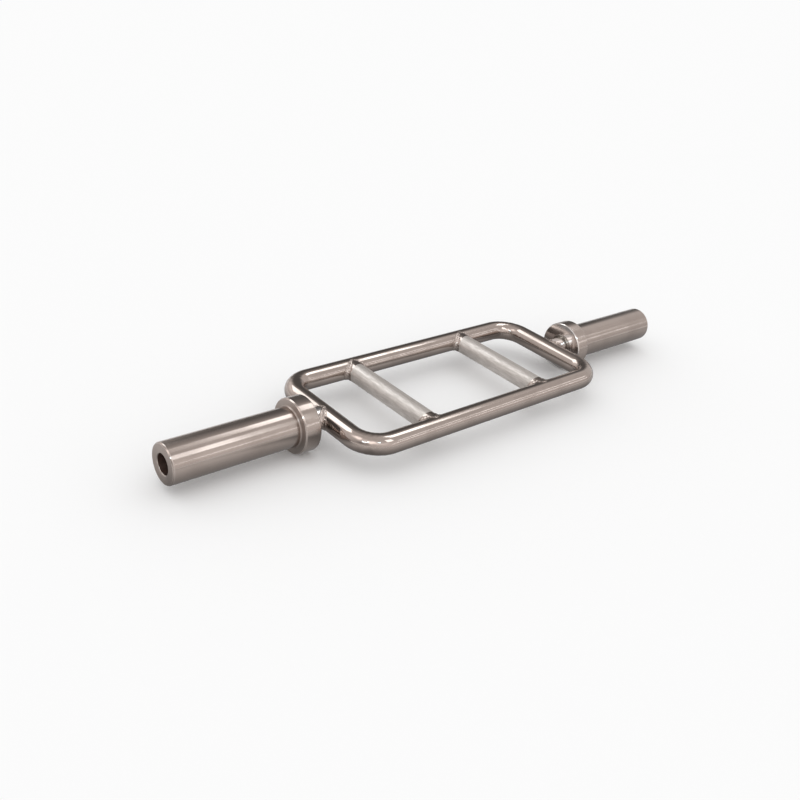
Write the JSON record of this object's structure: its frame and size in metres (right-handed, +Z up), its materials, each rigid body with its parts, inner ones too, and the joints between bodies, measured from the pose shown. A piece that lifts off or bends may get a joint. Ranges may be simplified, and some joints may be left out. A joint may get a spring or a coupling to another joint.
{
  "type": "triceps bar",
  "caption": "Closed steel loop with parallel cross grips welded between its long rails, and a free turning plate sleeve with a collar on a spindle at each end.",
  "frame": {"origin": "middle of the loop, on the line that both sleeves turn about", "axes": "+X along the bar from the left sleeve to the right sleeve, +Y along the grips from the front rail to the back rail, +Z up, square to the flat loop"},
  "size_m": [0.842, 0.2032, 0.0694],
  "materials": {
    "frame_steel": "polished bright plating with a warm nickel tint",
    "grip_steel": "matte, finely knurled for grip",
    "weld_steel": "plated over smoothed weld fillets",
    "spindle_steel": "turned and plated",
    "washer_steel": "turned, lightly oiled",
    "fastener_steel": "black oxide, oiled",
    "sleeve_steel": "turned and plated, satin",
    "collar_steel": "turned and plated, satin rim and polished faces",
    "bronze": "plain bearing bronze"
  },
  "bodies": {
    "frame": {"left_frame_bow": "frame_steel", "right_frame_bow": "frame_steel", "left_grip": "grip_steel", "right_grip": "grip_steel", "left_grip_front_weld": "weld_steel", "left_grip_back_weld": "weld_steel", "right_grip_front_weld": "weld_steel", "right_grip_back_weld": "weld_steel", "left_neck_weld": "weld_steel", "right_neck_weld": "weld_steel", "left_spindle": "spindle_steel", "right_spindle": "spindle_steel", "left_thrust_washer": "washer_steel", "right_thrust_washer": "washer_steel", "left_retaining_washer": "fastener_steel", "right_retaining_washer": "fastener_steel", "left_lock_washer": "fastener_steel", "right_lock_washer": "fastener_steel", "left_retaining_bolt": "fastener_steel", "right_retaining_bolt": "fastener_steel"},
    "left_turning_sleeve": {"left_sleeve": "sleeve_steel", "left_collar": "collar_steel", "left_collar_weld": "collar_steel", "left_inner_bushing": "bronze", "left_outer_bushing": "bronze"},
    "right_turning_sleeve": {"right_sleeve": "sleeve_steel", "right_collar": "collar_steel", "right_collar_weld": "collar_steel", "right_inner_bushing": "bronze", "right_outer_bushing": "bronze"}
  },
  "joints": [
    {"name": "left_sleeve_spin", "type": "hinge", "parent": "frame", "child": "left_turning_sleeve", "pos_m": [-0.32, 0, 0], "axis": [1, 0, 0], "continuous": true},
    {"name": "right_sleeve_spin", "type": "hinge", "parent": "frame", "child": "right_turning_sleeve", "pos_m": [0.32, 0, 0], "axis": [1, 0, 0], "continuous": true}
  ]
}
